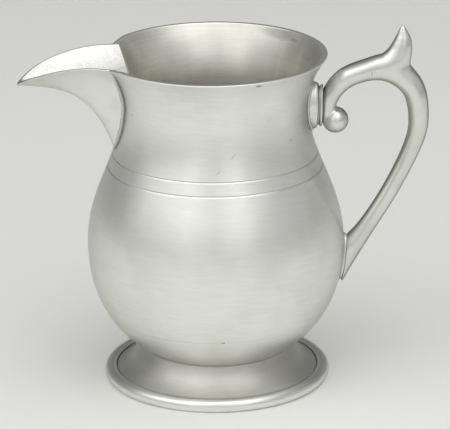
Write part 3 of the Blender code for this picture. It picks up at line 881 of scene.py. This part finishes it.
class Finish:
    def __init__(self, name):
        self.material = bpy.data.materials.new(name)
        self.material.use_nodes = True
        self.tree = self.material.node_tree
        self.shader = self.tree.nodes["Principled BSDF"]

    def node(self, kind, settings=None, sockets=None, output=0):
        made = self.tree.nodes.new(kind)
        for key, value in (settings or {}).items():
            setattr(made, key, value)
        for key, value in (sockets or {}).items():
            self.put(made.inputs[key], value)
        return Wire(self, made.outputs[output])

    def put(self, socket, value):
        if isinstance(value, Wire):
            self.tree.links.new(value.socket, socket)
        else:
            socket.default_value = value

    def set(self, **values):
        for key, value in values.items():
            self.put(self.shader.inputs[key.replace("_", " ")], value)

    def place(self):  # object coordinates about the creamer's axis, in mm
        seen = self.node("ShaderNodeTexCoord", output=3)
        return self.node("ShaderNodeMapping", {},
                         {"Vector": seen, "Location": (-axisX / mm, 0, 0), "Scale": (1 / mm,) * 3})

    def split(self, vector):
        made = self.tree.nodes.new("ShaderNodeSeparateXYZ")
        self.put(made.inputs[0], vector)
        return [Wire(self, out) for out in made.outputs]

    def join(self, x, y, z):
        return self.node("ShaderNodeCombineXYZ", {}, {0: x, 1: y, 2: z})

    def grain(self, vector, scale, detail=2.0, rough=0.5):
        return self.node("ShaderNodeTexNoise", {},
                         {"Vector": vector, "Scale": scale, "Detail": detail, "Roughness": rough})

    def span(self, value, low, high, toLow=0.0, toHigh=1.0):
        return self.node("ShaderNodeMapRange", {"interpolation_type": "SMOOTHSTEP"},
                         {0: value, 1: low, 2: high, 3: toLow, 4: toHigh})

    def tint(self, share, a, b):
        a, b = (c if isinstance(c, Wire) else (*c, 1) for c in (a, b))
        return self.node("ShaderNodeMix", {"data_type": "RGBA"}, {0: share, 6: a, 7: b}, 2)

    def vector(self, operation, a, b=(0.0, 0.0, 0.0), c=(0.0, 0.0, 0.0), output=0):
        return self.node("ShaderNodeVectorMath", {"operation": operation}, {0: a, 1: b, 2: c}, output)

    def ragged(self, place, reach):  # a place shaken, so that marks get uneven edges
        noise = self.node("ShaderNodeTexNoise", {}, {"Vector": place, "Scale": 1.1, "Detail": 3.0}, 1)
        return self.vector("MULTIPLY_ADD", self.vector("SUBTRACT", noise, (0.5,) * 3), (reach,) * 3, place)

    def spot(self, place, centre, reach, slant):  # 1 inside a small mark, 0 outside
        x, y, z = self.split(self.vector("SUBTRACT", place, centre))
        away = self.vector("DIVIDE", self.join(x, y, z - x * slant), reach)
        return self.span(self.vector("LENGTH", away, output=1), 0.3, 1.0, 1.0, 0.0)

    def marked(self, place, marks, shake):  # the strongest of many small marks
        place = self.ragged(place, shake)
        most = None
        for centre, reach, slant, strength in marks:
            mark = self.spot(place, centre, reach, slant) * strength
            if most:
                mark = self.node("ShaderNodeMath", {"operation": "MAXIMUM"}, {0: most, 1: mark})
            most = mark
        return most

    def line(self, value, at, half, strength):  # a dark turned line, used for dirt and for painted shade
        away = self.node("ShaderNodeMath", {"operation": "ABSOLUTE"}, {0: value - at})
        return self.span(away, half * 0.4, half, strength, 0.0)

    def bump(self, height, strength, distance):
        sockets = {"Height": height, "Strength": strength, "Distance": distance * mm}
        return self.node("ShaderNodeBump", {}, sockets)


# Finishes

pewterLook = {
    "pale": (0.87, 0.87, 0.83),
    "dull": (0.67, 0.665, 0.615),
    "castPale": (0.80, 0.80, 0.765),
    "castDull": (0.60, 0.595, 0.55),
    "bowlPale": (0.83, 0.81, 0.74),
    "bowlDull": (0.55, 0.53, 0.47),
    "footPale": (0.75, 0.745, 0.69),
    "footDull": (0.58, 0.57, 0.51),
    "filedPale": (0.89, 0.88, 0.835),
    "filedDull": (0.46, 0.455, 0.43),
    # solder colours: dark for painted shade in the corners, pale for a painted highlight on the crest
    "solderCornerShade": (0.34, 0.335, 0.31),
    "solderCrestHighlight": (0.62, 0.615, 0.58),
    # dark colour for real stains and dirt, and also for painted shade
    "stainAndShade": (0.16, 0.15, 0.13),
    "tarnish": 0.3,
    "brushTurn": 0.25,
}
bodyDentsStainsAndShade = (  # dents and stains, and one wide patch of painted dark reflection: turn from the front, height, half width, half height, slant, strength
    (23, 103.8, 1.4, 0.45, -0.2, 0.8),
    (11, 81.0, 1.6, 0.3, 0.8, 0.35),
    (1.5, 76.2, 1.0, 0.3, 0.8, 0.35),
    (-60, 89.8, 1.0, 0.6, -0.4, 0.2),
    (35, 91.0, 1.6, 1.6, 0.0, 0.08),
    (52, 82.5, 0.7, 0.5, 0.0, 0.3),
    (60, 95.6, 0.6, 0.8, 0.0, 0.25),
    (3.3, 23.0, 0.8, 0.3, 0.0, 0.8),
    # painted dark reflection of the handle on the neck beside the socket, with some duller tarnish there
    # too
    (80, 85.0, 13.0, 13.0, 0.0, 0.28),
)
bowlStainsAndShade = (  # the same columns, inside the bowl: two small stains, a darker band under the rim at the back right, and wide patches of painted shade on the bowl's sides
    (129.5, 102.8, 2.8, 0.8, -0.1, 0.35),
    (148, 93.5, 0.7, 0.3, 0.0, 0.3),
    # a darker band under the rim at the back right
    (141, 103.6, 9.0, 2.6, 0.0, 0.38),
    # wide patches of painted shade on the bowl's sides
    (146, 95.0, 10.0, 10.0, 0.0, 0.3),
    (124, 94.5, 10.0, 12.0, 0.0, 0.3),
    (101, 97.0, 14.0, 12.0, 0.0, 0.42),
    (-108, 95.0, 14.0, 11.0, 0.0, 0.36),
    (-158, 96.0, 8.0, 8.0, 0.0, 0.18),
)
handleScratchesDirtAndShade = (  # scratches, and dirt with painted shade where the handle rises from the socket: place from the axis, half sizes, slant, strength
    ((48.3, -3.4, 99.0), (0.25, 1.0, 1.5), 0.0, 0.5),
    ((49.1, -3.4, 99.4), (0.2, 1.0, 1.1), 0.0, 0.4),
    # dirt and painted shade where the handle rises from the socket
    ((34.8, 0.0, 94.0), (4.0, 8.0, 5.0), 0.0, 0.35),
)
footPaintedShade = (  # painted shade on the left of the foot
    ((-15.0, -23.0, 7.0), (9.0, 9.0, 6.0), 0.0, 0.14),
)


def onBody(marks):  # marks placed on the body by their turn and height
    placed = []
    for turn, height, wide, high, slant, strength in marks:
        r = bodyRadius(height * mm) / mm - (bodyShape["wall"] if abs(turn) > 90 else 0)
        spot = (r * sin(radians(turn)), -r * cos(radians(turn)), height)
        placed.append((spot, (wide, wide, high), slant, strength))
    return placed


def spunPewter(name, roughness, anisotropy, lineDepth, tones=("pale", "dull"), contrast=0.35,
               run=2.5, edge=0.7, marks=(), rings=(), streak=0.0):
    f = Finish(name)
    place = f.place()
    x, y, z = f.split(place)
    radius = f.vector("LENGTH", f.join(x, y, 0.0), output=1)
    turn = f.node("ShaderNodeMath", {"operation": "ARCTAN2"}, {0: y, 1: x})
    lathe = f.join(radius, z, turn * run)
    lines = f.grain(lathe, 1.4, detail=3.0, rough=0.65)
    bands = f.grain(lathe, 0.3)
    climb = f.join(radius * 0.3 + turn * 2.0, z + turn * 6.0, turn * 1.2)
    hairs = f.grain(climb, 1.6)
    cloud = f.grain(place, 0.06, detail=4.0, rough=0.6)
    tarnish = f.span(cloud, 0.40, 0.75)
    share = tarnish * pewterLook["tarnish"] + (lines - 0.35) * contrast
    share = share + (hairs - 0.5) * min(contrast, 0.35)
    if streak:
        upright = f.grain(f.join(0.0, z * 0.02, turn * 3.0), 1.3)
        share = share + (upright - 0.5) * streak
    tone = f.tint(share, pewterLook[tones[0]], pewterLook[tones[1]])
    # stains, dents and painted shade from the mark tables
    if marks:
        tone = f.tint(f.marked(place, marks, 1.0), tone, pewterLook["stainAndShade"])
    # dirt and painted shade in turned lines
    for height, half, strength in rings:
        tone = f.tint(f.line(z, height, half, strength), tone, pewterLook["stainAndShade"])
    f.set(
        Base_Color=tone,
        Metallic=1.0,
        Roughness=roughness - 0.05 + lines * 0.06 + bands * 0.03 + tarnish * 0.03,
        Anisotropic=anisotropy,
        Anisotropic_Rotation=pewterLook["brushTurn"],
        Specular_Tint=(edge, edge, edge, 1),
        Normal=f.bump(lines + hairs * 0.5, 0.5, lineDepth),
    )
    return f.material


def castPewter(name, roughness, grainDepth, edge=0.0, tones=("castPale", "castDull"), contrast=0.3,
               marks=(), lines=(), grit=1.3):
    f = Finish(name)
    place = f.place()
    fine = f.grain(place, grit, detail=3.0, rough=0.6)
    cloud = f.grain(place, 0.12, detail=3.0)
    tarnish = f.span(cloud, 0.45, 0.75)
    share = tarnish * pewterLook["tarnish"] + (fine - 0.5) * contrast + 0.15
    tone = f.tint(share, pewterLook[tones[0]], pewterLook[tones[1]])
    # scratches, dirt and painted shade from the mark table
    if marks:
        tone = f.tint(f.marked(place, marks, 0.3), tone, pewterLook["stainAndShade"])
    # dirt and painted shade in turned lines
    for x, half, strength in lines:
        tone = f.tint(f.line(f.split(place)[0], x, half, strength), tone, pewterLook["stainAndShade"])
    f.set(
        Base_Color=tone,
        Metallic=1.0,
        Roughness=roughness - 0.04 + fine * 0.06 + tarnish * 0.05,
        Specular_Tint=(edge, edge, edge, 1),
        Normal=f.bump(fine, 0.3, grainDepth),
    )
    return f.material


def solderGrey(name):  # painted highlight on the crest, painted shade in the corners beside it
    f = Finish(name)
    fine = f.grain(f.place(), 1.8, detail=3.0, rough=0.6)
    crest = f.node("ShaderNodeAttribute", {"attribute_name": "crest"}, output=2)
    # the crest gets the pale colour as a painted highlight, the flanks the dark colour as painted shade
    share = f.span(crest + (fine - 0.5) * 0.2, 0.55, 0.85)
    f.set(
        Base_Color=f.tint(share, pewterLook["solderCornerShade"], pewterLook["solderCrestHighlight"]),
        Metallic=1.0,
        Roughness=0.40 + fine * 0.1,
        Normal=f.bump(fine, 0.3, 0.05),
    )
    return f.material


print("modelling the body and spout")
body = makeBody()
spout = makeSpout(body)
print("modelling the foot and its ring")
foot = makeFoot()
footRing = makeRing()
print("casting the handle")
handle = makeHandle()
socket = makeSocket()
pad = makePad()
print("laying the solder")
spoutSolder = makeSpoutSolder()
socketSolder = makeSocketSolder()
padSolder = makePadSolder()
footSolder = makeFootSolder()
ringSolder = makeRingSolder()

print("finishing the metal")
inside(body)
# dirt and painted shade in turned lines: place along the handle's root or height on the body, half width,
# strength
# dirt and painted shade where the handle meets the collar
handleRootDirtAndShade = [(socketFace, 0.5, 0.6)]
# dirt and painted shade in the collar's groove and at its face
collarDirtAndShade = [(socketFace - 1.05, 0.4, 0.7), (socketFace, 0.25, 0.6)]
# painted shadow in the two shoulder grooves
grooveShadeAndBellyLine = [(neckHeight - drop + 0.12, 0.22, 0.45) for drop in bodyShape["grooveDrops"]]
grooveShadeAndBellyLine.append((22.9, 0.18, 0.15))  # a faint line low on the belly
footJoint = footFlare()[0].y / mm
# dirt in the foot's joint, and a wide band of painted shade on the foot just below it
footJointDirtAndShade = [(footJoint, 0.4, 0.45), (footJoint - 1.0, 3.0, 0.12)]
cast = castPewter("cast pewter", roughness=0.30, grainDepth=0.006, marks=handleScratchesDirtAndShade, lines=handleRootDirtAndShade)
socketCast = castPewter("cast socket pewter", roughness=0.30, grainDepth=0.02, lines=collarDirtAndShade)
solder = solderGrey("solder")
plain = ("pale", "dull")
wear(body, "body", "spun_pewter",
     spunPewter("spun pewter", roughness=0.37, anisotropy=0.3, lineDepth=0.006, contrast=0.5, streak=0.3,
                marks=onBody(bodyDentsStainsAndShade), rings=grooveShadeAndBellyLine),
     spunPewter("spun bowl pewter", roughness=0.45, anisotropy=0.6, lineDepth=0.03,
                tones=("bowlPale", "bowlDull"), contrast=0.7, run=0.5, edge=1.0, streak=0.8,
                marks=onBody(bowlStainsAndShade)),
     castPewter("burnished lip pewter", roughness=0.36, grainDepth=0.005, edge=1.0, tones=plain))
wear(spout, "spout", "spun_pewter",
     castPewter("beaten pewter", roughness=0.38, grainDepth=0.02, edge=0.6, tones=plain),
     castPewter("filed pewter", roughness=0.45, grainDepth=0.15, edge=1.0, tones=("filedPale", "filedDull"),
                contrast=1.4, grit=2.4),
     castPewter("rubbed lip pewter", roughness=0.36, grainDepth=0.005, edge=0.2, tones=plain))
wear(foot, "foot", "spun_pewter",
     spunPewter("spun foot pewter", roughness=0.42, anisotropy=0.5, lineDepth=0.01,
                tones=("footPale", "footDull"), contrast=0.5, marks=footPaintedShade, rings=footJointDirtAndShade))
wear(footRing, "foot_rim_ring", "cast_pewter",
     spunPewter("turned ring pewter", roughness=0.30, anisotropy=0.0, lineDepth=0.004))
wear(handle, "handle", "cast_pewter", cast)
wear(socket, "handle_socket", "cast_pewter", socketCast)
wear(pad, "handle_pad", "cast_pewter", cast)
wear(spoutSolder, "spout_solder", "solder", solder)
wear(socketSolder, "socket_solder", "solder", solder)
wear(padSolder, "pad_solder", "solder", solder)
wear(footSolder, "foot_solder", "solder", solder)
wear(ringSolder, "ring_solder", "solder", solder)


# Studio: pale floor, soft light and the photograph's camera

studio = {
    "floorSize": 3.0,
    "floorTone": (0.965, 0.975, 0.935),
    "floorShade": 0.97,
    "floorRoughness": 0.75,
    "floorGloss": 0.2,
    "roomTone": (0.085, 0.085, 0.085),
    "aimHeight": 0.05,
    "boxAway": 1.5,
    "boxSize": 0.9,
    "boxes": {  # elevation, first and last turn from the front, how many, watts each
        "low front": (8, -20, 20, 3, 0.5),
        "right wall": (8, 40, 100, 4, 0.32),
        "left wall": (8, -100, -40, 4, 0.29),
        "far wall": (8, 120, 240, 7, 0.26),
        "front fill": (24, -20, 20, 2, 1.0),
        "right fill": (24, 40, 100, 4, 0.33),
        "left fill": (24, -80, -42, 3, 0.64),
        "right window": (42, 5, 51, 3, 1.0),
        "left window": (42, -70, -26, 3, 1.15),
        "left sky": (42, -103, -80, 2, 0.42),
        "far sky": (42, 128, 232, 5, 0.16),
        "high front": (60, -36, 36, 3, 1.0),
        "high right": (60, 60, 130, 3, 0.85),
        "high left": (60, -120, -60, 3, 0.42),
        "overhead": (78, 0, 144, 3, 1.2),
    },
}


def makeFloor():
    bm = bmesh.new()
    bmesh.ops.create_grid(bm, x_segments=1, y_segments=1, size=studio["floorSize"] / 2)
    floor = pieceFrom("studio_floor", bm)
    if floor.data.polygons[0].normal.z < 0:
        floor.data.flip_normals()
    f = Finish("floor paper")
    seen = f.node("ShaderNodeTexCoord", output=3)
    cloud = f.grain(seen, 3.0)
    tone = studio["floorTone"]
    f.set(
        Base_Color=f.tint(cloud, tone, [studio["floorShade"] * c for c in tone]),
        Roughness=studio["floorRoughness"],
        Specular_IOR_Level=studio["floorGloss"],
    )
    floor.data.materials.append(f.material)


def makeLights():
    aim = Vector((axisX, 0, studio["aimHeight"]))
    for name, (elevation, first, last, count, watts) in studio["boxes"].items():
        rise = radians(elevation)
        for i in range(count):
            turn = radians(first + (last - first) * i / (count - 1))
            out = Vector((sin(turn) * cos(rise), -cos(turn) * cos(rise), sin(rise)))
            lamp = bpy.data.lights.new(name, "AREA")
            lamp.shape = "DISK"
            lamp.size = studio["boxSize"]
            lamp.energy = watts
            stand = bpy.data.objects.new(name, lamp)
            stand.location = aim + out * studio["boxAway"]
            stand.rotation_euler = out.to_track_quat("Z", "Y").to_euler()
            stand.visible_camera = False
            bpy.context.scene.collection.objects.link(stand)
    world = bpy.data.worlds.new("studio room")
    world.use_nodes = True
    world.node_tree.nodes["Background"].inputs["Color"].default_value = (*studio["roomTone"], 1)
    bpy.context.scene.world = world


cameraShot = {
    "distance": 1132.9,
    "elevation": 19.15,
    "roll": 0.49,
    "lens": 291.36,
    "sensor": 36.0,
    "aim": (2.914, 52.5),
}


def makeCamera():
    s = cameraShot
    tilt, roll = radians(s["elevation"]), radians(s["roll"])
    back = Vector((0, -cos(tilt), sin(tilt)))
    right = Vector((1, 0, 0))
    up = back.cross(right)
    spot = fromAxis(s["aim"][0], 0, s["aim"][1]) + back * s["distance"] * mm
    turnedRight = right * cos(roll) - up * sin(roll)
    turnedUp = right * sin(roll) + up * cos(roll)
    lens = bpy.data.cameras.new("shot")
    lens.sensor_width = s["sensor"]
    lens.lens = s["lens"]
    camera = bpy.data.objects.new("shot", lens)
    bpy.context.scene.collection.objects.link(camera)
    camera.matrix_world = Matrix((
        (turnedRight.x, turnedUp.x, back.x, spot.x),
        (turnedRight.y, turnedUp.y, back.y, spot.y),
        (turnedRight.z, turnedUp.z, back.z, spot.z),
        (0, 0, 0, 1),
    ))
    bpy.context.scene.camera = camera


print("setting up the studio")
makeFloor()
makeLights()
makeCamera()
bpy.context.scene.view_settings.view_transform = "Standard"
bpy.context.scene.cycles.glossy_bounces = 10  # light reaches down into the bowl
